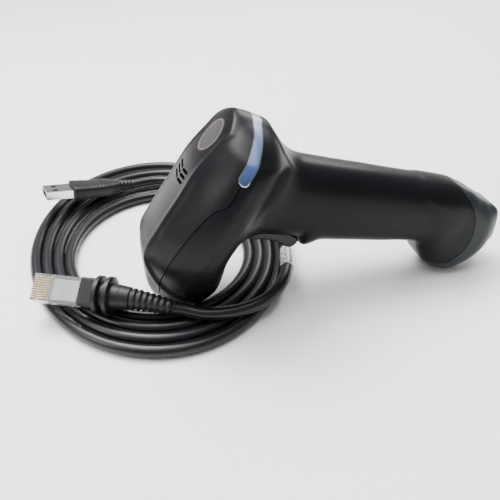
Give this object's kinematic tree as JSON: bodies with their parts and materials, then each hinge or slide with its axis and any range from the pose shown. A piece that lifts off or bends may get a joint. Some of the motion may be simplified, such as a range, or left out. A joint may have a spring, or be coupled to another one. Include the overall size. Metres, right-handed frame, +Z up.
{
  "type": "handheld barcode scanner",
  "caption": "Handheld barcode scanner with crowned head, status light band, trigger and straight handle, lying nose down beside its coiled cable with a modular plug and a USB plug.",
  "frame": {"origin": "on the table, under the centre of the scanner's bounding box, cable left out", "axes": "+X from the nose towards the butt of the handle, +Z up, the XZ plane is the scanner's symmetry plane"},
  "size_m": [0.2236, 0.182, 0.0883],
  "materials": {
    "housing_plastic": "satin black, finely textured",
    "cover_plastic": "satin black, finely textured",
    "cap_plastic": "satin dark grey",
    "bezel_plastic": "matt black",
    "trigger_plastic": "satin black",
    "gasket_rubber": "matt",
    "window_red": "clear dark red",
    "light_band": "translucent, cool tint",
    "badge_face": "smooth, domed",
    "steel": "bright",
    "red_plastic": "moulded",
    "board_green": "solder mask",
    "flex_amber": "thin film",
    "chassis_metal": "cast",
    "mirror_carrier": "moulded",
    "mirror_face": "silvered",
    "copper_wire": "wound enamelled wire",
    "brass": "turned",
    "lens_glass": "clear",
    "led_white": "clear domes",
    "socket_plastic": "matt",
    "gold_contacts": "gold plated",
    "cable_jacket": "soft satin jacket",
    "label_sleeve": "clear sleeve over paper",
    "boot_plastic": "soft moulded",
    "clear_plastic": "clear",
    "usb_metal": "nickel plated",
    "tongue_plastic": "moulded"
  },
  "bodies": {
    "cable_set": {"cable_coil": "cable_jacket", "cable_lead": "cable_jacket", "cable_usb_tail": "cable_jacket", "cable_label": "label_sleeve", "plug_boot": "boot_plastic", "plug_body": "clear_plastic", "plug_contacts": "gold_contacts", "usb_overmold": "boot_plastic", "usb_shell": "usb_metal", "usb_tongue": "tongue_plastic", "usb_contacts": "gold_contacts"},
    "scanner": {"main_housing": "housing_plastic", "top_cover": "cover_plastic", "end_cap": "cap_plastic", "nose_bezel": "bezel_plastic", "window_gasket": "gasket_rubber", "scan_window": "window_red", "light_pipe": "light_band", "badge": "badge_face", "trigger_pin": "steel", "trigger_bracket": "bezel_plastic", "trigger_spring": "steel", "trigger_switch": "bezel_plastic", "main_board": "board_green", "ribbon_cable": "flex_amber", "engine_chassis": "chassis_metal", "mirror_pin": "steel", "drive_coil": "copper_wire", "laser_module": "brass", "laser_lens": "lens_glass", "collector_mirror": "mirror_face", "photo_sensor": "bezel_plastic", "optical_filter": "window_red", "optics_board": "board_green", "board_screws": "steel", "beeper": "bezel_plastic", "led_board": "board_green", "status_leds": "led_white", "cable_socket": "socket_plastic", "socket_contacts": "gold_contacts", "end_cap_screw": "steel"},
    "trigger": {"trigger": "trigger_plastic"},
    "switch_plunger": {"switch_plunger": "red_plastic"},
    "mirror": {"scan_mirror": "mirror_carrier", "mirror_glass": "mirror_face", "mirror_magnet": "steel"},
    "plug_latch": {"plug_latch": "clear_plastic"}
  },
  "joints": [
    {"name": "lift_off", "type": "slide", "parent": "cable_set", "child": "scanner", "axis": [0, 0, 1], "range_m": [0, 0.12]},
    {"name": "trigger_pull", "type": "hinge", "parent": "scanner", "child": "trigger", "pos_m": [-0.03323, 0, 0.03742], "axis": [0, -1, 0], "range_deg": [0, 7], "stiffness_Nm_per_rad": 0.12, "springref_deg": -20.05},
    {"name": "plunger_press", "type": "slide", "parent": "scanner", "child": "switch_plunger", "axis": [0.225, 0, 0.9744], "range_m": [0, 0.00125]},
    {"name": "mirror_scan", "type": "hinge", "parent": "scanner", "child": "mirror", "pos_m": [-0.05874, 0, 0.03011], "axis": [0.9135, 0, -0.4067], "range_deg": [-12, 12], "stiffness_Nm_per_rad": 0.0006},
    {"name": "latch_press", "type": "hinge", "parent": "cable_set", "child": "plug_latch", "pos_m": [-0.12755, 0.00382, 0.01113], "axis": [-0.2993, -0.7051, -0.6428], "range_deg": [0, 4.4], "stiffness_Nm_per_rad": 0.05, "springref_deg": -5.73}
  ],
  "couplings": [
    {"joint": "plunger_press", "follows": "trigger_pull", "m_per_rad": 0.01}
  ]
}
